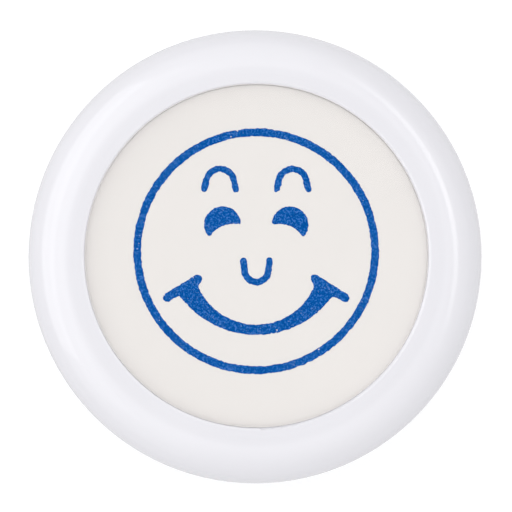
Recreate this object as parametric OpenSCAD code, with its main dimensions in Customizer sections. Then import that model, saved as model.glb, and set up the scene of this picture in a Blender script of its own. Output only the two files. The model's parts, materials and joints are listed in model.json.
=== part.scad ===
// Round pre-inked hand stamp, standing upright in its dust cap.
// Millimetres. +Z runs up the stamp, the origin is the centre of the dust cap's underside,
// and +Y is the top of the printed face. Pressing the knob slides the handle, with the ink
// column and the die, down over the skirt until the die meets the paper.

/* [Knob] */
// Outside diameter of the knob
knob_d = 29.4; // [29:0.1:30.4]
// Height of the stamp in its dust cap
stamp_h = 60; // [60:0.5:64]
// Radius of the knob's rounded rim
rim_r = 3; // [2.6:0.1:3]
// Diameter of the opening for the index window
window_d = 22.1; // [21:0.1:22.4]
// Thickness of the index window
window_t = 0.5; // [0.4:0.1:1]

/* [Handle] */
// Outside diameter of the lower barrel
barrel_d = 26.8; // [26.6:0.1:27.4]
// Diameter of the waist
waist_d = 17.8; // [17.8:0.1:19]
// Radius of the waist's hollow curve
waist_curve = 27; // [25:1:30]

/* [Skirt and cap] */
// Outside diameter of the skirt
skirt_d = 24; // [23.8:0.1:24.1]
// Wall of the skirt
skirt_wall = 1.4; // [1.2:0.1:1.5]
// Height of the skirt
skirt_h = 22; // [20:0.5:22]
// Outside diameter of the dust cap
cap_d = 26.4; // [26.2:0.1:27.4]
// Height of the dust cap
cap_h = 11; // [9:0.5:11]
// Thickness of the dust cap's floor
cap_floor = 1.2; // [0.9:0.1:1.3]

/* [Stamping] */
// Travel of the knob from rest to the paper
stroke = 4; // [3.6:0.1:4]
// Diameter of the impression
art_d = 15.8; // [14:0.05:16]
// Height of the raised lines on the die
relief_h = 0.5; // [0.3:0.1:0.5]
// Turns of the return spring
spring_turns = 10.5; // [8:0.5:12]
// Wire diameter of the return spring
spring_wire = 0.9; // [0.7:0.1:1]

/* [Hidden] */
$fn = 96;

eps = 0.02;          // overrun of a cut past the face it opens
slide_gap = 0.2;     // radial gap of a sliding fit between shells
snug_gap = 0.05;     // gap of parts that are pushed or screwed together
bead_r = 0.2;        // section radius of a snap bead

// Radii
knob_r = knob_d / 2;
window_r = window_d / 2;
barrel_r = barrel_d / 2;
waist_r = waist_d / 2;
skirt_r = skirt_d / 2;
skirt_bore = skirt_r - skirt_wall;
cap_r = cap_d / 2;
art_r = art_d / 2;
column_r = 4;
column_top_r = 3.3;      // stepped end of the column, in the handle's seat
channel_r = 2.4;         // ink channel in the column
port_r = 1.5;            // filling port at the column's top
flange_r = 9.4;
frame_r = 10.25;         // outside of the die frame
pad_r = 8.8;             // bore that the pad and the die's base sit in
spring_r = 6.9;          // mean radius of the return spring
spring_bore = 7.9;       // spring chamber in the handle
spigot_r = 9;            // barrel's spigot in the knob

// Heights, from the dust cap's underside up
ledge_h = 0.8;                                   // ledge in the cap that the skirt stands on
skirt_z = cap_floor + ledge_h;
skirt_top = skirt_z + skirt_h;
die_proud = 0.2;                                 // the die passes the skirt's edge when pressed
die_z = skirt_z + stroke - die_proud;
boss_z = die_z + relief_h;
lip_z = boss_z + 0.1;                            // underside of the die frame
lip_t = 0.6;
die_base_z = lip_z + lip_t;
die_base_t = 1.4;
pad_z = die_base_z + die_base_t;
pad_t = 3.9;
flange_z = pad_z + pad_t;
flange_t = 1.8;
web_z = flange_z + flange_t + snug_gap;          // skirt's web, resting on the flange
web_t = 1.85;
web_top = web_z + web_t;
parting = 0.5;                                   // gap left between the cap and the pressed handle
barrel_z = cap_h + stroke + parting;
bore_top = skirt_top + stroke + parting;
washer_t = 0.5;
seat_z = 43;                                     // spring's upper seat in the handle
seat_t = 2.5;
column_top = 50;
seam_z = 51.1;                                   // joint line of knob and barrel
spigot_h = 2.5;
window_sunk = 0.05;                              // window below the top of the rim
window_top = stamp_h - window_sunk;
window_z = window_top - window_t;
card_t = 0.3;
print_t = 0.04;
card_z = window_z - card_t - print_t - eps;
plate_t = 1.6;                                   // floor of the knob's recess

// ---------------------------------------------------------------- helpers

module ring(r_in, r_out, z0, z1) {
    translate([0, 0, z0]) difference() {
        cylinder(r = r_out, h = z1 - z0);
        translate([0, 0, -eps]) cylinder(r = r_in, h = z1 - z0 + 2 * eps);
    }
}

module disc(r, z0, z1) {
    translate([0, 0, z0]) cylinder(r = r, h = z1 - z0);
}

module torus(major, minor, z) {
    rotate_extrude() translate([major, z]) circle(minor);
}

// Copies its children n times round the axis
module around(n, start = 0) {
    for (i = [0 : n - 1]) rotate([0, 0, start + i * 360 / n]) children();
}

// ---------------------------------------------------------------- the printed face
// A plain smiling face in a ring: two brows, two half-moon eyes, a nose and a smile.
// It is symmetric left to right, and drawn for a ring of radius 1.

ring_line = 0.066;
brow_line = 0.052;
nose_line = 0.054;
corner_line = 0.07;

// Draws its children on the right and their mirror image on the left
module pair() {
    children();
    mirror([1, 0]) children();
}

module line_2d(a, b, w) {
    d = b - a;
    translate(a) rotate(atan2(d[1], d[0])) translate([0, -w / 2]) square([norm(d), w]);
    translate(a) circle(d = w);
    translate(b) circle(d = w);
}

// An arch of mean radius r and line width w, on straight legs that splay outwards
module arch_2d(r, w, leg, splay) {
    difference() {
        circle(r + w / 2);
        circle(r - w / 2);
        translate([-2 * r, -4 * r]) square([4 * r, 4 * r]);
    }
    pair() line_2d([r, 0], [r + splay, -leg], w);
}

// A half-moon with a hollow lower edge
module eye_2d() {
    rotate(-22) difference() {
        circle(0.15);
        translate([0, -0.235]) circle(0.225);
    }
}

// A crescent that ends on two short slanting lines
module smile_2d() {
    inner_end = [0.475, -0.225];
    outer_end = [0.725, -0.38];
    run = outer_end - inner_end;
    difference() {
        translate([0, 0.085]) circle(0.766);
        translate([0, -0.085]) circle(0.513);
        pair() translate(inner_end) rotate(atan2(run[1], run[0]))
            translate([-2, 0]) square([4, 3]);
    }
    pair() line_2d(inner_end, outer_end, corner_line);
}

module face_2d() {
    scale(art_r) {
        difference() {
            circle(1);
            circle(1 - ring_line);
        }
        pair() translate([0.295, 0.555]) arch_2d(0.115, brow_line, 0.05, 0.014);
        pair() translate([0.275, 0.215]) eye_2d();
        translate([0, -0.155]) mirror([0, 1]) arch_2d(0.097, nose_line, 0.08, 0.008);
        smile_2d();
    }
}

// ---------------------------------------------------------------- dust cap

module dust_cap() {
    corner = 1.5;
    chamfer = 0.4;
    bore = skirt_r + slide_gap;
    flutes = 28;
    flute_r = 0.8;
    flute_depth = 0.3;
    flute_margin = 1;
    rib_n = 6;
    rib_w = 1;
    rib_top = cap_h - 2.5;
    color("white") difference() {
        union() {
            disc(cap_r - corner, 0, corner + eps);
            torus(cap_r - corner, corner, corner);
            disc(cap_r, corner, cap_h - chamfer);
            translate([0, 0, cap_h - chamfer]) cylinder(r1 = cap_r, r2 = cap_r - chamfer, h = chamfer);
        }
        disc(skirt_bore - slide_gap, cap_floor, skirt_z + eps);
        disc(bore, skirt_z, cap_h + eps);
        around(flutes) translate([cap_r + flute_r - flute_depth, 0, corner + flute_margin])
            cylinder(r = flute_r, h = cap_h - corner - 3 * flute_margin, $fn = 24);
    }
    // Friction ribs that hold the cap on the skirt
    color("white") intersection() {
        ring(skirt_r + snug_gap, bore + 0.1, skirt_z, rib_top);
        around(rib_n, 15) translate([0, -rib_w / 2, 0]) cube([cap_r, rib_w, cap_h]);
    }
}

// ---------------------------------------------------------------- skirt

guide_n = 4;
guide_w = 1.4;
guide_depth = 0.6;
guide_gap = 0.15;
guide_turn = 45;         // the guides lie between the sighting notches

module skirt() {
    chamfer = 0.3;
    groove_z = cap_h + 0.4;
    notch_w = 1.4;
    color("gainsboro") difference() {
        union() {
            disc(skirt_r, skirt_z, skirt_top - chamfer);
            translate([0, 0, skirt_top - chamfer])
                cylinder(r1 = skirt_r, r2 = skirt_r - chamfer, h = chamfer);
        }
        disc(skirt_bore, skirt_z - eps, web_z);
        disc(skirt_bore, web_top, skirt_top + eps);
        disc(column_r + 0.3, web_z - eps, web_top + eps);
        // Grooves for the handle's guide ribs
        around(guide_n, guide_turn)
            translate([skirt_r - guide_depth, -guide_w / 2 - guide_gap, groove_z])
                cube([barrel_r, guide_w + 2 * guide_gap, skirt_h]);
        // Sighting notches in the stamping edge
        around(guide_n) translate([skirt_bore - eps, 0, skirt_z]) rotate([45, 0, 0])
            translate([0, -notch_w / 2, -notch_w / 2]) cube([skirt_r, notch_w, notch_w]);
    }
}

// ---------------------------------------------------------------- die and ink supply

module die() {
    color("royalblue") union() {
        translate([0, 0, die_z]) linear_extrude(relief_h + eps) face_2d();
        disc(art_r + 0.25, boss_z, die_base_z + eps);
        disc(pad_r, die_base_z, pad_z);
    }
}

module ink_pad() {
    color("mediumblue") disc(pad_r - 0.1, pad_z, flange_z);
}

gasket_t = 0.3;
frame_bead_z = flange_z + 0.8;

module die_frame() {
    edge_r = 0.4;
    ledge_z = flange_z - gasket_t;
    top = frame_bead_z + 0.5;
    color("white") difference() {
        union() {
            disc(frame_r - edge_r, lip_z, lip_z + edge_r);
            torus(frame_r - edge_r, edge_r, lip_z + edge_r);
            disc(frame_r, lip_z + edge_r, top);
        }
        disc(art_r + 0.35, lip_z - eps, die_base_z);
        disc(pad_r + 0.1, die_base_z, ledge_z + eps);
        disc(flange_r + snug_gap, ledge_z, top + eps);
    }
    // Snap bead that grips the plunger's flange
    color("white") torus(flange_r + snug_gap, bead_r, frame_bead_z);
}

module frame_gasket() {
    color("dimgray") ring(pad_r + 0.1, flange_r, flange_z - gasket_t, flange_z);
}

clip_z = seat_z + seat_t + 0.1;
clip_t = 0.7;
clip_groove_r = 2.7;
port_z = seat_z - 5;         // the channel narrows to the filling port here

module plunger() {
    color("white") difference() {
        union() {
            disc(flange_r, flange_z, flange_z + flange_t);
            disc(column_r, flange_z + flange_t, seat_z);
            disc(column_top_r, seat_z, column_top);
        }
        disc(channel_r, flange_z - eps, port_z);
        disc(port_r, port_z - eps, column_top + eps);
        ring(clip_groove_r, column_r, clip_z, clip_z + clip_t + snug_gap);
        torus(flange_r + snug_gap, bead_r + snug_gap, frame_bead_z);
    }
}

module ink_wick() {
    color("slateblue") disc(channel_r - 0.1, flange_z, port_z - 1);
}

plug_len = 4;
plug_head_t = 1.2;
plug_grip_h = 1;
o_ring_r = 0.3;              // section radius of the seal
o_ring_z = column_top - 2.4;

module filler_plug() {
    groove_h = 2 * o_ring_r + 0.1;
    color("lightsteelblue") difference() {
        union() {
            disc(port_r - 0.08, column_top - plug_len, column_top + eps);
            disc(column_top_r - 0.3, column_top, column_top + plug_head_t);
            disc(1.3, column_top + plug_head_t, column_top + plug_head_t + plug_grip_h);
        }
        ring(port_r - 0.65, column_r, o_ring_z - groove_h / 2, o_ring_z + groove_h / 2);
    }
}

module plug_o_ring() {
    color("black") torus(port_r - eps - o_ring_r, o_ring_r, o_ring_z);
}

// ---------------------------------------------------------------- stroke nuts, spring and its washers

nut_r = 5.6;             // across the corners, half
nut_z = web_top + stroke + snug_gap;     // the nut meets the web at full stroke
depth_nut_t = 2.5;
lock_nut_t = 1.8;

module hex_nut(z0, height) {
    translate([0, 0, z0]) difference() {
        cylinder(r = nut_r, h = height, $fn = 6);
        translate([0, 0, -eps]) cylinder(r = column_r + snug_gap, h = height + 2 * eps);
    }
}

module depth_nut() {
    color("goldenrod") hex_nut(nut_z, depth_nut_t);
}

module lock_nut() {
    color("goldenrod") hex_nut(nut_z + depth_nut_t, lock_nut_t);
}

module lower_washer() {
    color("silver") ring(nut_r + slide_gap, 8.4, web_top, web_top + washer_t);
}

module upper_washer() {
    color("silver") ring(column_r + 0.3, spring_bore - slide_gap, seat_z - washer_t, seat_z);
}

spring_z0 = web_top + washer_t;
spring_z1 = seat_z - washer_t;
spring_sides = 8;
spring_steps = 20;      // rings per turn
closed_turns = 1;       // turns that lie on each other at each end

// Height of the wire's centre after a number of turns
function coil_height(turn) =
    let (
        wire = spring_wire * 1.02,
        low = spring_z0 + spring_wire / 2,
        high = spring_z1 - spring_wire / 2,
        open_turns = spring_turns - 2 * closed_turns,
        pitch = (high - low - 2 * closed_turns * wire) / open_turns
    )
    turn < closed_turns ? low + turn * wire :
    turn > spring_turns - closed_turns ? high - (spring_turns - turn) * wire :
    low + closed_turns * wire + (turn - closed_turns) * pitch;

module return_spring() {
    rings = spring_turns * spring_steps;
    points = [
        for (i = [0 : rings], k = [0 : spring_sides - 1])
        let (
            turn = i / spring_steps,
            around_axis = 360 * turn,
            around_wire = 360 * k / spring_sides,
            r = spring_r + spring_wire / 2 * cos(around_wire)
        )
        [
            r * cos(around_axis),
            r * sin(around_axis),
            coil_height(turn) + spring_wire / 2 * sin(around_wire)
        ]
    ];
    sides = [
        for (i = [0 : rings - 1], k = [0 : spring_sides - 1])
        let (
            a = i * spring_sides + k,
            b = i * spring_sides + (k + 1) % spring_sides
        )
        [a, b, b + spring_sides, a + spring_sides]
    ];
    start = [for (k = [spring_sides - 1 : -1 : 0]) k];
    end = [for (k = [0 : spring_sides - 1]) rings * spring_sides + k];
    color("silver") polyhedron(points, concat(sides, [start, end]));
}

module retaining_clip() {
    clip_r = 5.4;
    gap = 3.6;
    color("silver") difference() {
        ring(clip_groove_r + snug_gap, clip_r, clip_z, clip_z + clip_t);
        translate([0, -gap / 2, clip_z - eps]) cube([clip_r, gap, clip_t + 2 * eps]);
    }
}

// ---------------------------------------------------------------- handle barrel

// Outline of the barrel: straight at the foot, a convex shoulder, then the hollow waist
module barrel_outline() {
    shoulder = 6;
    waist_x = waist_r + waist_curve;
    shoulder_x = barrel_r - shoulder;
    reach = waist_curve + shoulder;
    rise = sqrt(reach * reach - pow(waist_x - shoulder_x, 2));
    shoulder_z = seat_z - rise;
    share = waist_curve / reach;
    meet = [waist_x + (shoulder_x - waist_x) * share, seat_z - rise * share];
    foot_round = 0.5;
    translate([0, barrel_z + foot_round]) square([barrel_r, shoulder_z - barrel_z - foot_round]);
    translate([0, barrel_z]) square([barrel_r - foot_round, foot_round]);
    translate([barrel_r - foot_round, barrel_z + foot_round]) circle(foot_round);
    intersection() {
        translate([shoulder_x, shoulder_z]) circle(shoulder);
        translate([0, shoulder_z]) square(barrel_r);
    }
    difference() {
        polygon([
            [0, shoulder_z], [shoulder_x, shoulder_z], meet, [waist_x, seat_z],
            [waist_x, seam_z], [0, seam_z]
        ]);
        translate([waist_x, seat_z]) circle(waist_curve, $fn = 360);
    }
}

module handle_barrel() {
    spigot_wall = 1.8;
    color("white") difference() {
        union() {
            rotate_extrude() barrel_outline();
            disc(spigot_r, seam_z - eps, seam_z + spigot_h);
            torus(spigot_r, bead_r, seam_z + spigot_h / 2);
        }
        disc(skirt_r + slide_gap, barrel_z - eps, bore_top);
        disc(spring_bore, bore_top - eps, seat_z);
        disc(column_top_r + 0.1, seat_z - eps, seat_z + seat_t + eps);
        disc(spigot_r - spigot_wall, seat_z + seat_t, seam_z + spigot_h + eps);
    }
    // Ribs that run in the skirt's grooves and keep the face upright
    color("white") intersection() {
        ring(skirt_r - guide_depth + guide_gap, skirt_r + 2 * slide_gap, barrel_z + 0.4, bore_top);
        around(guide_n, guide_turn) translate([0, -guide_w / 2, 0])
            cube([barrel_r, guide_w, bore_top]);
    }
}

// ---------------------------------------------------------------- knob, card and window

// Outline of the knob: a round rim that runs into the neck through a hollow curve
module knob_outline() {
    neck_r = 10.4;
    neck_curve = 3.2;
    neck_edge = 0.25;
    rim_x = knob_r - rim_r;
    rim_z = stamp_h - rim_r;
    curve_x = neck_r + neck_curve;
    lap = 0.003;             // the rim covers the very end of the neck's curve
    reach = rim_r + neck_curve - lap;
    drop = sqrt(reach * reach - pow(curve_x - rim_x, 2));
    curve_z = rim_z - drop;
    neck_top = max(curve_z, seam_z + neck_edge);
    under_rim = (rim_r - 0.1) / reach;
    meet = [rim_x + (curve_x - rim_x) * under_rim, rim_z - drop * under_rim];
    translate([rim_x, rim_z]) circle(rim_r, $fn = 180);
    translate([0, seam_z]) square([neck_r - neck_edge, neck_edge + eps]);
    translate([neck_r - neck_edge, seam_z + neck_edge]) circle(neck_edge);
    translate([0, seam_z + neck_edge]) square([neck_r, neck_top - seam_z - neck_edge + eps]);
    difference() {
        polygon([
            [0, neck_top], [curve_x, neck_top], meet,
            [rim_x, rim_z], [rim_x, stamp_h], [0, stamp_h]
        ]);
        translate([curve_x, curve_z]) circle(neck_curve);
    }
}

module knob() {
    lip_round = 0.2;
    hand_hole_r = 4.2;       // reaches the filler plug when the card is out
    chamber_r = 8;
    color("white") difference() {
        rotate_extrude() difference() {
            knob_outline();
            // Recess for the card and the window, with a rounded mouth
            translate([0, card_z]) square([window_r, stamp_h]);
            translate([0, stamp_h - lip_round]) square([window_r + lip_round, rim_r]);
        }
        disc(hand_hole_r, card_z - plate_t - eps, card_z + eps);
        disc(chamber_r, seam_z + spigot_h, card_z - plate_t);
        disc(spigot_r + snug_gap, seam_z - eps, seam_z + spigot_h + snug_gap);
        torus(spigot_r + snug_gap, bead_r + snug_gap, seam_z + spigot_h / 2);
    }
    color("white") difference() {
        torus(window_r + lip_round, lip_round, stamp_h - lip_round);
        disc(window_r, stamp_h - rim_r, stamp_h + rim_r);
    }
}

// Where the face is printed on the card, a little above its centre
print_offset = [-0.02, 0.29];

module index_card() {
    color("ivory") disc(window_r - snug_gap, card_z, card_z + card_t);
    color("royalblue") translate([print_offset[0], print_offset[1], card_z + card_t - eps])
        linear_extrude(print_t + eps) face_2d();
}

module index_window() {
    bevel = 0.05;
    r = window_r - eps;
    color("azure", 0.4) union() {
        disc(r, window_z, window_top - bevel / 2);
        translate([0, 0, window_top - bevel / 2]) cylinder(r1 = r, r2 = r - bevel, h = bevel / 2);
    }
}

// ---------------------------------------------------------------- nodes

dust_cap();
skirt();
die();
ink_pad();
die_frame();
frame_gasket();
plunger();
ink_wick();
filler_plug();
plug_o_ring();
depth_nut();
lock_nut();
lower_washer();
return_spring();
upper_washer();
retaining_clip();
handle_barrel();
knob();
index_card();
index_window();
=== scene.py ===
import json
import math

import bpy
import numpy as np
from mathutils import Matrix, Vector


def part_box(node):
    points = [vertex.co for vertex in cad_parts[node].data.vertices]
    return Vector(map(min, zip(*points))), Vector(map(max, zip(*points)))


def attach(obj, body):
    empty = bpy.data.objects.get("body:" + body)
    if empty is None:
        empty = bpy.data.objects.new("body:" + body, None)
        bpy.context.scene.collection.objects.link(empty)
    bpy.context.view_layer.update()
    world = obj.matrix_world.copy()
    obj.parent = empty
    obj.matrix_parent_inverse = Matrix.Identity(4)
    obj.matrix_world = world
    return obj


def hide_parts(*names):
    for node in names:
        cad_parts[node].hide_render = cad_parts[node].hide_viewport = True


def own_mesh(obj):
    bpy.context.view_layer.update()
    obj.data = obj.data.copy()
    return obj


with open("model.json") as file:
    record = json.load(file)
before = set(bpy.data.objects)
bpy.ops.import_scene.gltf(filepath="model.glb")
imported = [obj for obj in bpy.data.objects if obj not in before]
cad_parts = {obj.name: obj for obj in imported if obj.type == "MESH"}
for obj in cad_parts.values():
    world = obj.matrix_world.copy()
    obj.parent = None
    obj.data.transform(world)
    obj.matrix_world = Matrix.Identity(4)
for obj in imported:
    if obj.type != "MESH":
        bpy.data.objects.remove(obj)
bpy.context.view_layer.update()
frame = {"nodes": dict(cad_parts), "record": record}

NODES = frame["nodes"]
MM = 0.001
MICRON = 1e-6
SMOOTH_ANGLE = math.radians(40)


# ---------------------------------------------------------------- material helpers


class Nodes:
    """Short ways to build a node tree."""

    def __init__(self, tree):
        self.tree = tree

    def add(self, kind, **settings):
        node = self.tree.nodes.new(kind)
        for key, value in settings.items():
            setattr(node, key, value)
        return node

    def link(self, source, target):
        self.tree.links.new(source, target)

    def put(self, target, value):
        """Sets an input to a number or colour, or links it to a socket."""
        if isinstance(value, bpy.types.NodeSocket):
            self.link(value, target)
        else:
            target.default_value = value

    def spread(self, value, low, high, start=0.0, end=1.0, soft=False):
        """Maps start..end to low..high, held at both ends."""
        node = self.add("ShaderNodeMapRange")
        node.interpolation_type = "SMOOTHSTEP" if soft else "LINEAR"
        self.put(node.inputs["Value"], value)
        node.inputs["From Min"].default_value = start
        node.inputs["From Max"].default_value = end
        node.inputs["To Min"].default_value = low
        node.inputs["To Max"].default_value = high
        return node.outputs["Result"]

    def math(self, operation, a, b=0.0):
        node = self.add("ShaderNodeMath", operation=operation)
        self.put(node.inputs[0], a)
        self.put(node.inputs[1], b)
        return node.outputs[0]


class Look(Nodes):
    """A Principled material and its textures. Sizes are in metres."""

    def __init__(self, name, **values):
        self.material = bpy.data.materials.new(name)
        self.material.use_nodes = True
        super().__init__(self.material.node_tree)
        self.shader = self.tree.nodes["Principled BSDF"]
        self.output = self.tree.nodes["Material Output"]
        self.place = self.add("ShaderNodeTexCoord").outputs["Object"]
        for key, value in values.items():
            self.shader.inputs[key.replace("_", " ")].default_value = value

    def stretched(self, scale, turn=0.0):
        """The object's coordinates, turned about Z and scaled on each axis."""
        node = self.add("ShaderNodeMapping")
        self.link(self.place, node.inputs["Vector"])
        node.inputs["Scale"].default_value = scale
        node.inputs["Rotation"].default_value = (0, 0, turn)
        return node.outputs["Vector"]

    def noise(self, size, detail=2.0, rough=0.5, where=None, warp=0.0):
        """Soft noise from 0 to 1, with features of about the given size."""
        node = self.add("ShaderNodeTexNoise")
        self.link(where or self.place, node.inputs["Vector"])
        node.inputs["Scale"].default_value = 1 / size
        node.inputs["Detail"].default_value = detail
        node.inputs["Roughness"].default_value = rough
        node.inputs["Distortion"].default_value = warp
        return node.outputs["Fac"]

    def cells(self, size, feature="F1"):
        """Distance in a pattern of cells of about the given size."""
        node = self.add("ShaderNodeTexVoronoi", feature=feature)
        self.link(self.place, node.inputs["Vector"])
        node.inputs["Scale"].default_value = 1 / size
        return node.outputs["Distance"]

    def ramp(self, value, *stops):
        """Colour by value: stops are (position, colour)."""
        node = self.add("ShaderNodeValToRGB")
        self.link(value, node.inputs["Fac"])
        points = node.color_ramp.elements
        while len(points) < len(stops):
            points.new(0.5)
        for point, (position, colour) in zip(points, stops):
            point.position = position
            point.color = (*colour, 1)
        return node.outputs["Color"]

    def mix(self, share, a, b):
        """Colour a where share is 0 and b where it is 1."""
        node = self.add("ShaderNodeMix", data_type="RGBA")
        self.put(node.inputs["Factor"], share)
        for key, value in (("A", a), ("B", b)):
            socket = next(i for i in node.inputs if i.name == key and i.type == "RGBA")
            self.put(socket, (*value, 1) if isinstance(value, tuple) else value)
        return next(o for o in node.outputs if o.type == "RGBA")

    def bump(self, height, depth, over=None):
        """Adds relief of the given depth to the normal, over an earlier bump."""
        node = self.add("ShaderNodeBump")
        node.inputs["Distance"].default_value = depth
        self.link(height, node.inputs["Height"])
        if over is not None:
            self.link(over, node.inputs["Normal"])
        self.link(node.outputs["Normal"], self.shader.inputs["Normal"])
        return node.outputs["Normal"]

    def colour(self, socket):
        self.link(socket, self.shader.inputs["Base Color"])

    def roughness(self, socket):
        self.link(socket, self.shader.inputs["Roughness"])

    def hairlines(self, turn, length=6 * MM, width=0.045 * MM, share=0.26):
        """Fine straight scratches, 1 on a scratch and 0 off it."""
        along = self.stretched((1 / length, 1 / width, 1 / length), turn)
        lines = self.noise(1.0, 1.0, 0.5, along)
        start, soft_edge = 1 - share, 0.06
        return self.spread(lines, 0.0, 1.0, start, start + soft_edge)


# ---------------------------------------------------------------- materials


def moulded_white():
    """Glossy white ABS with a slight lavender tint, faint orange peel and handling marks."""
    look = Look("handle_plastic", IOR=1.52)
    tint = look.noise(9 * MM, 3)
    look.colour(look.ramp(tint, (0.3, (0.752, 0.746, 0.784)), (0.7, (0.768, 0.762, 0.800))))
    smudges = look.noise(3.2 * MM, 4, 0.6, warp=0.4)
    marks = look.math("MAXIMUM", look.hairlines(0.5), look.hairlines(2.1, 4 * MM))
    base = look.spread(smudges, 0.07, 0.13, 0.35, 0.7)
    look.roughness(look.math("ADD", base, look.math("MULTIPLY", marks, 0.07)))
    peel = look.bump(look.noise(0.9 * MM, 1), 1.2 * MICRON)
    look.bump(look.math("MULTIPLY", marks, -1.0), 0.5 * MICRON, peel)
    return look.material


def moulded_grey():
    """Semi-gloss cool grey plastic with a fine spark-eroded grain and slide marks along Z."""
    look = Look("skirt_plastic", IOR=1.5)
    tint = look.noise(7 * MM, 3)
    look.colour(look.ramp(tint, (0.3, (0.385, 0.410, 0.455)), (0.7, (0.415, 0.440, 0.485))))
    rubbed = look.noise(1.0, 2, 0.5, look.stretched((1 / (0.5 * MM), 1 / (0.5 * MM), 1 / (9 * MM))))
    look.roughness(look.spread(rubbed, 0.24, 0.42, 0.3, 0.7))
    grain = look.bump(look.noise(0.16 * MM, 2, 0.6), 4 * MICRON)
    look.bump(rubbed, 1.5 * MICRON, grain)
    return look.material


def frosted_cap():
    """Milky polypropylene with a fine frost and faint flow clouds."""
    look = Look("cap_plastic", IOR=1.49, Subsurface_Weight=0.35, Subsurface_Scale=1.2 * MM)
    look.shader.inputs["Subsurface Radius"].default_value = (1.0, 1.0, 1.0)
    flow = look.noise(5 * MM, 4, 0.55, warp=1.2)
    look.colour(look.ramp(flow, (0.25, (0.66, 0.69, 0.73)), (0.75, (0.73, 0.755, 0.79))))
    frost = look.noise(0.22 * MM, 3, 0.6)
    look.roughness(look.spread(frost, 0.34, 0.5, 0.3, 0.7))
    look.bump(frost, 5 * MICRON)
    return look.material


def moulded_plain(name, dark, light):
    """Plain moulded plastic with a matt grain and slight flow lines."""
    look = Look(name, IOR=1.5)
    flow = look.noise(4 * MM, 4, 0.5, warp=0.8)
    look.colour(look.ramp(flow, (0.3, dark), (0.7, light)))
    grain = look.noise(0.18 * MM, 2, 0.6)
    look.roughness(look.spread(grain, 0.36, 0.5, 0.3, 0.7))
    look.bump(grain, 4 * MICRON)
    return look.material


def stained_rubber():
    """Microporous rubber, soaked blue and darker where more ink stands, with open pores whose
    hollows are painted darker as shade.
    """
    look = Look("die_rubber", IOR=1.5)
    soak = look.noise(1.6 * MM, 4, 0.6)
    stain = look.ramp(soak, (0.3, (0.012, 0.060, 0.250)), (0.7, (0.030, 0.125, 0.400)))
    pores = look.spread(look.cells(0.14 * MM), 0.0, 1.0, 0.12, 0.5)
    # painted shade: the pores' sunken middles get a darker blue
    look.colour(look.mix(pores, (0.006, 0.030, 0.140), stain))
    look.roughness(look.spread(soak, 0.38, 0.72, 0.3, 0.7))
    look.bump(pores, 14 * MICRON)
    return look.material


def wet_foam():
    """Open-cell foam full of ink: round cells whose hollow middles are painted dark as shade, with
    shiny walls.
    """
    look = Look("ink_foam", IOR=1.4)
    cell = look.spread(look.cells(0.42 * MM, "DISTANCE_TO_EDGE"), 0.0, 1.0, 0.02, 0.2)
    soak = look.noise(2.5 * MM, 3)
    wall = look.ramp(soak, (0.3, (0.020, 0.075, 0.300)), (0.7, (0.040, 0.130, 0.420)))
    # painted shade: the sunken middle of each cell gets a near-black blue
    look.colour(look.mix(cell, wall, (0.003, 0.012, 0.080)))
    look.roughness(look.spread(cell, 0.28, 0.7))
    look.bump(look.math("MULTIPLY", cell, -1.0), 90 * MICRON)
    return look.material


def wet_felt():
    """Felt rod: fibres that mostly run along it, wet with ink."""
    look = Look("ink_felt", IOR=1.4)
    run = look.stretched((1 / (0.09 * MM), 1 / (0.09 * MM), 1 / (1.4 * MM)))
    fibres = look.noise(1.0, 3, 0.6, run, warp=0.8)
    look.colour(look.ramp(fibres, (0.3, (0.008, 0.035, 0.170)), (0.7, (0.050, 0.150, 0.440))))
    look.roughness(look.spread(fibres, 0.45, 0.8, 0.3, 0.7))
    look.bump(fibres, 45 * MICRON)
    return look.material


def nitrile():
    """Black seal rubber with a satin face and fine mould grain."""
    look = Look("seal_rubber", IOR=1.52)
    cloud = look.noise(1.1 * MM, 3)
    look.colour(look.ramp(cloud, (0.3, (0.010, 0.010, 0.011)), (0.7, (0.022, 0.022, 0.023))))
    look.roughness(look.spread(cloud, 0.42, 0.6, 0.3, 0.7))
    look.bump(look.noise(0.08 * MM, 2), 3 * MICRON)
    return look.material


def lathe_lines(look, pitch):
    """Fine turned lines round the Z axis, from 0 to 1."""
    split = look.add("ShaderNodeSeparateXYZ")
    look.link(look.place, split.inputs[0])
    x2 = look.math("MULTIPLY", split.outputs[0], split.outputs[0])
    y2 = look.math("MULTIPLY", split.outputs[1], split.outputs[1])
    radius = look.math("SQRT", look.math("ADD", x2, y2))
    both = look.math("ADD", radius, split.outputs[2])
    wobble = look.math("MULTIPLY", look.noise(0.6 * MM, 2), pitch * 0.8)
    turned = look.math("MULTIPLY", look.math("ADD", both, wobble), 2 * math.pi / pitch)
    return look.spread(look.math("SINE", turned), 0.0, 1.0, -1.0, 1.0)


def turned_brass():
    """Brass turned on a lathe, with fine lines, dull patches and a little tarnish."""
    look = Look("nut_brass", Metallic=1.0)
    patina = look.noise(1.8 * MM, 4, 0.6)
    look.colour(look.ramp(patina, (0.25, (0.50, 0.345, 0.130)), (0.6, (0.72, 0.530, 0.235))))
    look.roughness(look.spread(patina, 0.42, 0.22, 0.3, 0.7))
    look.bump(lathe_lines(look, 0.11 * MM), 2.5 * MICRON)
    return look.material


def zinc_plate():
    """Zinc-plated steel with a cool bloom and fine rolled grain."""
    look = Look("washer_steel", Metallic=1.0)
    bloom = look.noise(1.4 * MM, 4, 0.6)
    look.colour(look.ramp(bloom, (0.3, (0.50, 0.525, 0.555)), (0.7, (0.64, 0.645, 0.650))))
    look.roughness(look.spread(bloom, 0.4, 0.26, 0.3, 0.7))
    rolled = look.noise(1.0, 2, 0.5, look.stretched((1 / (2 * MM), 1 / (0.06 * MM), 1 / (2 * MM))))
    look.bump(rolled, 2 * MICRON)
    return look.material


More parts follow.
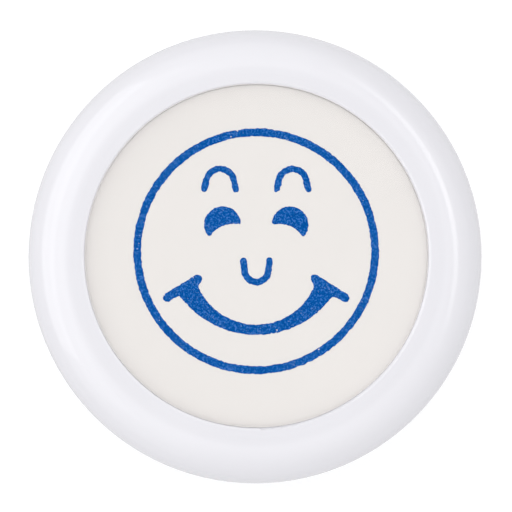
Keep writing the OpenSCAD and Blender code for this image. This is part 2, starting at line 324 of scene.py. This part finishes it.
def bright_spring():
    """Bright spring steel with drawn streaks and a trace of oil."""
    look = Look("spring_steel", Metallic=1.0)
    streak = look.stretched((1 / (1.2 * MM), 1 / (1.2 * MM), 1 / (0.05 * MM)))
    drawn = look.noise(1.0, 2, 0.6, streak)
    look.colour(look.ramp(drawn, (0.3, (0.40, 0.40, 0.415)), (0.7, (0.56, 0.56, 0.57))))
    oil = look.noise(2.2 * MM, 3)
    look.roughness(look.spread(oil, 0.16, 0.34, 0.35, 0.65))
    look.bump(drawn, 2 * MICRON)
    return look.material


def card_stock_look():
    """Smooth off-white card: soft mottling, short fibres and a slight tooth."""
    look = Look("card_paper", IOR=1.45, Specular_IOR_Level=0.3)
    mottle = look.noise(1.4 * MM, 4, 0.6)
    paper = look.ramp(mottle, (0.3, (0.804, 0.770, 0.745)), (0.7, (0.812, 0.778, 0.753)))
    runs = [
        look.stretched((1 / (1.6 * MM), 1 / (0.07 * MM), 1 / MM), turn)
        for turn in (0.35, 1.5, 2.6)
    ]
    fibres = look.noise(1.0, 2, 0.5, runs[0], warp=0.6)
    for run in runs[1:]:
        fibres = look.math("MAXIMUM", fibres, look.noise(1.0, 2, 0.5, run, warp=0.6))
    thread = look.spread(fibres, 0.0, 1.0, 0.66, 0.80)
    look.colour(look.mix(look.math("MULTIPLY", thread, 0.18), paper, (0.850, 0.828, 0.808)))
    look.roughness(look.spread(mottle, 0.62, 0.78, 0.3, 0.7))
    tooth = look.bump(look.noise(0.11 * MM, 3, 0.6), 1.0 * MICRON)
    look.bump(thread, 2 * MICRON, tooth)
    return look.material


def stamped_ink():
    """Blue stamping ink on card: grainy, thinner in clusters of light specks."""
    look = Look("stamped_ink", IOR=1.45, Specular_IOR_Level=0.04)
    grain = look.noise(0.12 * MM, 3, 0.6)
    ink = look.ramp(
        grain,
        (0.42, (0.000, 0.070, 0.305)),
        (0.50, (0.000, 0.092, 0.365)),
        (0.55, (0.004, 0.108, 0.412)),
        (0.61, (0.045, 0.165, 0.520)),
    )
    cluster = look.spread(look.noise(1.1 * MM, 2), 0.0, 1.0, 0.42, 0.68)
    dots = look.spread(look.noise(0.075 * MM, 1), 0.0, 1.0, 0.62, 0.74)
    thin = look.math("MULTIPLY", look.math("MULTIPLY", dots, cluster), 0.75)
    look.colour(look.mix(thin, ink, (0.30, 0.42, 0.66)))
    look.roughness(look.spread(grain, 0.5, 0.72, 0.3, 0.7))
    look.bump(grain, 4 * MICRON)
    return look.material


def clear_acrylic():
    """Polished acrylic. Lamp light and scattered light pass straight through it."""
    look = Look("window_acrylic", IOR=1.49, Roughness=0.012, Transmission_Weight=1.0)
    haze = look.noise(5 * MM, 4, 0.6)
    look.colour(look.ramp(haze, (0.3, (0.985, 0.992, 0.995)), (0.7, (0.995, 0.998, 1.0))))
    look.bump(look.noise(3.5 * MM, 1), 0.4 * MICRON)
    path = look.add("ShaderNodeLightPath")
    clear = look.add("ShaderNodeBsdfTransparent")
    surface = look.shader.outputs["BSDF"]
    for ray in ("Is Diffuse Ray", "Is Shadow Ray"):
        choice = look.add("ShaderNodeMixShader")
        look.link(path.outputs[ray], choice.inputs[0])
        look.link(surface, choice.inputs[1])
        look.link(clear.outputs[0], choice.inputs[2])
        surface = choice.outputs[0]
    look.link(surface, look.output.inputs["Surface"])
    return look.material


LOOKS = {
    "handle_plastic": moulded_white(),
    "skirt_plastic": moulded_grey(),
    "cap_plastic": frosted_cap(),
    "frame_plastic": moulded_plain("frame_plastic", (0.66, 0.66, 0.635), (0.72, 0.72, 0.70)),
    "plug_plastic": moulded_plain("plug_plastic", (0.085, 0.155, 0.310), (0.120, 0.195, 0.360)),
    "window_acrylic": clear_acrylic(),
    "card_paper": card_stock_look(),
    "die_rubber": stained_rubber(),
    "ink_foam": wet_foam(),
    "ink_felt": wet_felt(),
    "seal_rubber": nitrile(),
    "nut_brass": turned_brass(),
    "washer_steel": zinc_plate(),
    "spring_steel": bright_spring(),
}
INK = stamped_ink()

for part in frame["record"]["subparts"]:
    mesh = NODES[part["node"]].data
    mesh.materials.clear()
    mesh.materials.append(LOOKS[part["material_slot"]])


# ---------------------------------------------------------------- mesh helpers


def new_piece(name, points, faces, material, smooth=True):
    """A mesh object in the row frame, made from points in metres."""
    mesh = bpy.data.meshes.new(name)
    mesh.from_pydata([tuple(p) for p in points], [], faces)
    mesh.validate()
    if smooth:
        mesh.shade_smooth()
        mesh.set_sharp_from_angle(angle=SMOOTH_ANGLE)
    mesh.materials.append(material)
    piece = bpy.data.objects.new(name, mesh)
    bpy.context.scene.collection.objects.link(piece)
    return piece


def settle(piece, node, body):
    """The piece stands for a CAD node, which it hides, and rides on its body."""
    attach(piece, body)
    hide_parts(node)


def turned(name, outline, steps, material, wobble=None):
    """A solid of revolution. outline is a list of (r, z) in metres from the bottom's edge to
    the top's, and wobble(angle, z) gives a change of radius."""
    points, faces = [], []
    for r, z in outline:
        for k in range(steps):
            angle = 2 * math.pi * k / steps
            here = r + (wobble(angle, z) if wobble else 0.0)
            points.append((here * math.cos(angle), here * math.sin(angle), z))
    rows = len(outline)
    for i in range(rows - 1):
        for k in range(steps):
            a, b = i * steps + k, i * steps + (k + 1) % steps
            faces.append((a, b, b + steps, a + steps))
    faces.append(tuple(reversed(range(steps))))
    faces.append(tuple((rows - 1) * steps + k for k in range(steps)))
    return new_piece(name, points, faces, material)


def rounded_edge(r, z, radius, start, end, count=5):
    """Points of an arc in the (r, z) plane about (r, z), in degrees."""
    turns = [math.radians(start + (end - start) * i / count) for i in range(count + 1)]
    return [(r + radius * math.cos(t), z + radius * math.sin(t)) for t in turns]


# ---------------------------------------------------------------- printed card and window

GRID = 0.05                     # mm between the print's sample points
EDGE_MARGIN = 0.3               # mm sampled outside the ring
CORNER_ROUND = 0.3              # mm over which the ink rounds the corners
EDGE_WAVES = (0.007, 0.45)      # mm: how far the print's edge wanders and how wide its waves are
EDGE_GRAIN = (0.013, 0.16)      # mm: the same for its fine raggedness
CLUSTER_SIZE = 1.4              # mm across a cluster of missed specks
CLUSTER_PULL = 0.55             # how much a cluster adds to its specks
SPECK_SIZE = 0.10               # mm across a missed speck
SPECK_LIMIT = 3.15              # the strength over which a speck is missed
SPECK_SLOPE = 0.06              # mm of distance for each unit of strength over the limit
CUT_MARGIN = 0.04               # share of a grid step kept between a cut and a sample point
PRINT_SEED = 20
PRINT_OFFSET = (-0.02, 0.29)    # mm from the card's centre
ART_R = 7.9                     # mm, outer radius of the printed ring
INK_FILM = 0.014 * MM
CARD_EDGE = 0.02 * MM
WINDOW_EDGE = 0.05 * MM
PRESS_FIT = 0.007 * MM          # closes most of the window's gap in the knob
WINDOW_SHIFT = 0.012 * MM       # how far the window sits to one side
WINDOW_SIDE = math.radians(120)
DISC_STEPS = 192                # sides of the card and the window


def softened(field, size):
    """The field with detail much finer than size grid steps smoothed away."""
    down = np.fft.fftfreq(field.shape[0])[:, None]
    across = np.fft.rfftfreq(field.shape[1])[None, :]
    keep = np.exp(-(down**2 + across**2) * (math.pi * size) ** 2 / 8)
    return np.fft.irfft2(np.fft.rfft2(field) * keep, field.shape)


def blotches(shape, size, seed):
    """A smooth random field of unit spread, with blotches about size grid steps across."""
    field = softened(np.random.default_rng(seed).standard_normal(shape), size)
    return field / field.std()


def capsule(x, y, a, b, width):
    """Distance to a line from a to b with round ends."""
    run = (b[0] - a[0], b[1] - a[1])
    share = ((x - a[0]) * run[0] + (y - a[1]) * run[1]) / (run[0] ** 2 + run[1] ** 2)
    share = np.clip(share, 0, 1)
    return np.hypot(x - a[0] - share * run[0], y - a[1] - share * run[1]) - width / 2


def arch(x, y, r, width, leg, splay):
    """Distance to an arch of mean radius r on two straight legs, symmetric about x = 0."""
    x = np.abs(x)
    top = np.where(y >= 0, np.abs(np.hypot(x, y) - r), np.hypot(x - r, y)) - width / 2
    return np.minimum(top, capsule(x, y, (r, 0), (r + splay, -leg), width))


def merged(a, b, soft=0.03):
    """The union of two shapes, with the corner between them filled a little."""
    share = np.clip(0.5 + (b - a) / (2 * soft), 0, 1)
    return b + (a - b) * share - soft * share * (1 - share)


# The face's shapes are in units of the printed ring's radius.


def eye(x, y):
    """Distance to a half-moon with a hollow lower edge, turned to one side."""
    turn = math.radians(22)
    u = x * math.cos(turn) - y * math.sin(turn)
    v = x * math.sin(turn) + y * math.cos(turn)
    return np.maximum(np.hypot(u, v) - 0.15, 0.225 - np.hypot(u, v + 0.235))


def smile(x, y):
    """Distance to a crescent that ends on short slanting lines."""
    inner, outer = (0.475, -0.225), (0.725, -0.38)
    run = (outer[0] - inner[0], outer[1] - inner[1])
    above = (run[0] * (y - inner[1]) - run[1] * (x - inner[0])) / math.hypot(*run)
    crescent = np.maximum(np.hypot(x, y - 0.085) - 0.766, 0.513 - np.hypot(x, y + 0.085))
    return merged(np.maximum(crescent, above), capsule(x, y, inner, outer, 0.07))


def face(x, y):
    """Distance to the smiling face in its ring of radius 1, negative on the lines."""
    side = np.abs(x)
    ring = np.abs(np.hypot(x, y) - 0.968) - 0.032
    brows = arch(side - 0.295, y - 0.555, 0.115, 0.052, 0.05, 0.014)
    nose = arch(x, -(y + 0.155), 0.097, 0.054, 0.08, 0.008)
    shapes = [ring, brows, nose, eye(side - 0.275, y - 0.215), smile(side, y)]
    return np.minimum.reduce(shapes)


def print_field():
    """Distance to the stamped print in mm on a grid, with its worn edges and missed specks."""
    reach = ART_R + EDGE_MARGIN
    ticks = np.arange(-reach, reach + GRID, GRID)
    x, y = np.meshgrid(ticks, ticks, indexing="ij")
    field = softened(face(x / ART_R, y / ART_R) * ART_R, CORNER_ROUND / GRID)
    for seed, (depth, size) in enumerate((EDGE_WAVES, EDGE_GRAIN), PRINT_SEED):
        field += depth * blotches(field.shape, size / GRID, seed)
    clusters = blotches(field.shape, CLUSTER_SIZE / GRID, PRINT_SEED + 2)
    specks = blotches(field.shape, SPECK_SIZE / GRID, PRINT_SEED + 3)
    missed = (specks + CLUSTER_PULL * clusters - SPECK_LIMIT) * SPECK_SLOPE
    return ticks, np.maximum(field, missed)


def filled(ticks, field):
    """Flat polygons that fill the region where field is negative: (points in mm, faces)."""
    points, known, faces = [], {}, []
    inside = field < 0

    def index(key, place):
        if key not in known:
            known[key] = len(points)
            points.append(place)
        return known[key]

    count = inside[:-1, :-1] * 1 + inside[1:, :-1] + inside[1:, 1:] + inside[:-1, 1:]
    for i, j in zip(*np.nonzero(count)):
        corners = ((i, j), (i + 1, j), (i + 1, j + 1), (i, j + 1))
        loop = []
        for a, b in zip(corners, corners[1:] + corners[:1]):
            pa, pb = (ticks[a[0]], ticks[a[1]]), (ticks[b[0]], ticks[b[1]])
            if inside[a]:
                loop.append(index(a, pa))
            if inside[a] != inside[b]:
                share = field[a] / (field[a] - field[b])
                share = min(max(share, CUT_MARGIN), 1 - CUT_MARGIN)
                place = tuple(p + (q - p) * share for p, q in zip(pa, pb))
                low, high = min(a, b), max(a, b)
                loop.append(index(low + high, place))
        faces.append(tuple(loop))
    return points, faces


def raised(points, faces, low, high):
    """Turns flat polygons into a closed solid between two heights."""
    count = len(points)
    edges = {(a, b) for f in faces for a, b in zip(f, f[1:] + f[:1])}
    rim = sorted(e for e in edges if (e[1], e[0]) not in edges)
    solid = [tuple(f) for f in faces]
    solid += [tuple(i + count for i in reversed(f)) for f in faces]
    solid += [(a, a + count, b + count, b) for a, b in rim]
    places = [(x * MM, y * MM, high) for x, y in points]
    places += [(x * MM, y * MM, low) for x, y in points]
    return places, solid


def make_card():
    """The card and the print on it, which stand for the index_card node."""
    low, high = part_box("index_card")
    r, top, edge = high.x, high.z - INK_FILM, CARD_EDGE
    outline = [(r - edge, low.z), (r, low.z + edge), (r, top - edge), (r - edge, top)]
    card = turned("card_stock", outline, DISC_STEPS, LOOKS["card_paper"])
    settle(card, "index_card", "handle")
    flat, faces = filled(*print_field())
    flat = [(x + PRINT_OFFSET[0], y + PRINT_OFFSET[1]) for x, y in flat]
    places, solid = raised(flat, faces, top - INK_FILM, high.z)
    printed = new_piece("card_print", places, solid, INK, smooth=False)
    settle(printed, "index_card", "handle")


def make_window():
    """The clear pane, pressed against one side of the knob's recess."""
    low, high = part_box("index_window")
    r, edge = high.x + PRESS_FIT, WINDOW_EDGE
    outline = [(r, low.z), (r, high.z - edge), (r - edge, high.z)]

    def shifted(angle, z):
        return WINDOW_SHIFT * math.cos(angle - WINDOW_SIDE)

    pane = turned("window_pane", outline, DISC_STEPS, LOOKS["window_acrylic"], shifted)
    settle(pane, "index_window", "window")


make_card()
make_window()


# ---------------------------------------------------------------- spring and ink parts

SPRING_TURNS = 10.5
CLOSED_TURNS = 1           # turns that lie flat at each end
CLOSED_PITCH = 1.02        # their pitch in wire diameters
SPRING_WIRE = 0.9 * MM
CUT_END = 0.86             # how much the cut ends are rounded down
SOFT_DEPTH = 0.03 * MM     # depth of the lumps in the foam and the felt


def coil_height(turn, low, high):
    """Height of the wire's centre after a number of turns, with closed ends."""
    closed = SPRING_WIRE * CLOSED_PITCH
    pitch = (high - low - 2 * CLOSED_TURNS * closed) / (SPRING_TURNS - 2 * CLOSED_TURNS)
    if turn < CLOSED_TURNS:
        return low + turn * closed
    if turn > SPRING_TURNS - CLOSED_TURNS:
        return high - (SPRING_TURNS - turn) * closed
    return low + CLOSED_TURNS * closed + (turn - CLOSED_TURNS) * pitch


def make_spring(steps=56, sides=16):
    """The coil spring, a smooth tube with rounded cut ends."""
    low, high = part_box("return_spring")
    wire_r = SPRING_WIRE / 2
    mean_r = high.x - wire_r
    rings = round(SPRING_TURNS * steps)
    points, faces = [], []
    for i in range(rings + 1):
        turn = i / steps
        around = 2 * math.pi * turn
        z = coil_height(turn, low.z + wire_r, high.z - wire_r)
        from_end = min(i, rings - i)
        thick = wire_r * (CUT_END if from_end == 0 else 1.0)
        for k in range(sides):
            t = 2 * math.pi * k / sides
            r = mean_r + thick * math.cos(t)
            height = z + thick * math.sin(t)
            points.append((r * math.cos(around), r * math.sin(around), height))
    for i in range(rings):
        for k in range(sides):
            a, b = i * sides + k, i * sides + (k + 1) % sides
            faces.append((b, a, a + sides, b + sides))
    faces.append(tuple(range(sides)))
    faces.append(tuple(rings * sides + k for k in reversed(range(sides))))
    spring = new_piece("coil_spring", points, faces, LOOKS["spring_steel"])
    settle(spring, "return_spring", "skirt")
    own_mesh(spring)


def make_pad():
    """The foam pad: its side bulges a little under the plunger's flange."""
    low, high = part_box("ink_pad")
    edge = 0.25 * MM
    bulge = 0.12 * MM
    columns, levels, rows = 96, 24, 12
    r = high.x - edge - bulge
    field = blotches((columns, levels), 2.2, PRINT_SEED + 5)
    outline = rounded_edge(r, low.z + edge, edge, -90, 0)
    for i in range(1, rows):
        share = i / rows
        z = low.z + edge + (high.z - low.z - 2 * edge) * share
        outline.append((r + edge + bulge * math.sin(math.pi * share), z))
    outline += rounded_edge(r, high.z - edge, edge, 0, 90)

    def lumps(angle, z):
        column = round(angle / (2 * math.pi) * columns) % columns
        level = int((z - low.z) / (high.z - low.z) * (levels - 1))
        return -abs(field[column, level]) * SOFT_DEPTH

    pad = turned("foam_pad", outline, columns, LOOKS["ink_foam"], lumps)
    settle(pad, "ink_pad", "handle")


def make_wick():
    """The felt wick: a soft rod, cut square, with a fuzzy side."""
    low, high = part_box("ink_wick")
    edge = 0.2 * MM
    columns, rows = 48, 60
    field = blotches((columns, rows), 1.6, PRINT_SEED + 6)
    outline = rounded_edge(high.x - edge, low.z + edge, edge, -90, 0, 3)
    for i in range(1, rows):
        outline.append((high.x, low.z + edge + (high.z - low.z - 2 * edge) * i / rows))
    outline += rounded_edge(high.x - edge, high.z - edge, edge, 0, 90, 3)

    def fuzz(angle, z):
        column = round(angle / (2 * math.pi) * columns) % columns
        row = min(int((z - low.z) / (high.z - low.z) * rows), rows - 1)
        return -abs(field[column, row]) * SOFT_DEPTH

    wick = turned("felt_wick", outline, columns, LOOKS["ink_felt"], fuzz)
    settle(wick, "ink_wick", "handle")


make_spring()
make_pad()
make_wick()


# ---------------------------------------------------------------- camera, light and floor

LENS = 300.0
SENSOR = 36.0
KNOB_SHARE = 0.8850                   # of the picture's width
RIM_R = 3 * MM
FRAMING = (0.043 * MM, 0.039 * MM)    # the knob stands this little left of and below the middle
VIEW_FROM = (-0.0315, -0.0235, 1)     # almost straight above the knob
LIGHT_DISTANCE = 0.32


def make_camera():
    """Looks straight down on the knob, with the top of the face up."""
    low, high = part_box("knob")
    widest = high.z - RIM_R
    distance = LENS * (high.x - low.x) / (SENSOR * KNOB_SHARE)
    data = bpy.data.cameras.new("camera")
    data.lens = LENS
    data.sensor_width = SENSOR
    data.clip_start = 0.01
    data.clip_end = 20
    camera = bpy.data.objects.new("camera", data)
    away = Vector(VIEW_FROM).normalized()
    camera.location = Vector((*FRAMING, widest)) + away * distance
    right = Vector((0, 1, 0)).cross(away).normalized()
    camera.rotation_euler = Matrix((right, away.cross(right), away)).transposed().to_euler()
    bpy.context.scene.collection.objects.link(camera)
    bpy.context.scene.camera = camera


def softbox(name, azimuth, elevation, half_width, half_height, radiance, glint=True, spread=180):
    """A rectangular light aimed at the knob, which gives either highlights or diffuse light.
    Angles are in degrees and set what it covers as seen from there. It fades away from the
    middle where spread is under 180."""
    target = Vector((0, 0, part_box("knob")[1].z))
    a, e = math.radians(azimuth), math.radians(elevation)
    away = Vector((math.cos(a) * math.cos(e), math.sin(a) * math.cos(e), math.sin(e)))
    data = bpy.data.lights.new(name, "AREA")
    data.shape = "RECTANGLE"
    data.size = 2 * LIGHT_DISTANCE * math.tan(math.radians(half_width))
    data.size_y = 2 * LIGHT_DISTANCE * math.tan(math.radians(half_height))
    data.spread = math.radians(spread)
    fade = 1 - data.spread / 2 / math.tan(data.spread / 2) if spread < 180 else 1
    data.energy = radiance * math.pi * data.size * data.size_y * fade
    light = bpy.data.objects.new(name, data)
    light.location = target + away * LIGHT_DISTANCE
    light.rotation_mode = "QUATERNION"
    light.rotation_quaternion = (-away).to_track_quat("-Z", "Y")
    light.visible_camera = False
    light.visible_diffuse = not glint
    light.visible_glossy = glint
    light.visible_transmission = glint
    bpy.context.scene.collection.objects.link(light)


def make_world(level=1.107, from_left=0.26, from_top=0.02, zenith=(0.88, 0.9962), front=0.68,
               dim_azimuth=42, dim=0.6):
    """Even white light, stronger low on the left, and weaker from the front and near one
    azimuth, given in degrees. It is dark right above, in the part of the sky that the window
    mirrors."""
    front_edge = (-1.0, -0.6)
    dim_edge = (0.84, 0.97)
    world = bpy.data.worlds.new("studio")
    world.use_nodes = True
    sky = Nodes(world.node_tree)
    split = sky.add("ShaderNodeSeparateXYZ")
    sky.link(sky.add("ShaderNodeTexCoord").outputs["Generated"], split.inputs[0])
    x, y, z = split.outputs
    left = sky.math("MULTIPLY", x, -from_left)
    side = sky.math("ADD", left, sky.math("MULTIPLY", y, from_top))
    low = sky.math("SUBTRACT", 1.0, z)
    strength = sky.math("ADD", level, sky.math("MULTIPLY", side, low))
    strength = sky.math("MULTIPLY", strength, sky.spread(z, 1.0, 0.0, *zenith, soft=True))
    strength = sky.math("MULTIPLY", strength, sky.spread(y, front, 1.0, *front_edge, soft=True))
    turn = math.radians(dim_azimuth)
    across = sky.math("MULTIPLY", x, math.cos(turn))
    along = sky.math("MULTIPLY", y, math.sin(turn))
    dimmed = sky.spread(sky.math("ADD", across, along), 1.0, dim, *dim_edge, soft=True)
    strength = sky.math("MULTIPLY", strength, dimmed)
    sky.link(strength, sky.tree.nodes["Background"].inputs["Strength"])
    sky.tree.nodes["Background"].inputs["Color"].default_value = (1, 1, 1, 1)
    bpy.context.scene.world = world


def make_floor(half=3.0, albedo=0.75, lift=0.30, drop=0.02 * MM):
    """A plain pale floor just under the cap, a little brighter to the eye than it lights the
    part."""
    corners = ((-half, -half), (half, -half), (half, half), (-half, half))
    points = [(x, y, -drop) for x, y in corners]
    look = Look("floor", Roughness=0.9, Specular_IOR_Level=0.1)
    look.shader.inputs["Base Color"].default_value = (albedo, albedo, albedo * 1.01, 1)
    look.shader.inputs["Emission Color"].default_value = (1, 1, 1, 1)
    seen = look.add("ShaderNodeLightPath").outputs["Is Camera Ray"]
    look.link(look.math("MULTIPLY", seen, lift), look.shader.inputs["Emission Strength"])
    new_piece("floor", points, [(0, 1, 2, 3)], look.material)


make_camera()
softbox("left_softbox", 165, 19, 41, 18, 0.8)
softbox("left_fill", 170, 44, 48, 20, 0.45)
softbox("right_strip", 20, 41, 48, 6, 2.6, spread=80)
softbox("overhead", 90, 89, 25, 25, 1.0, glint=False)
make_world()
make_floor()
bpy.context.scene.view_settings.view_transform = "Standard"
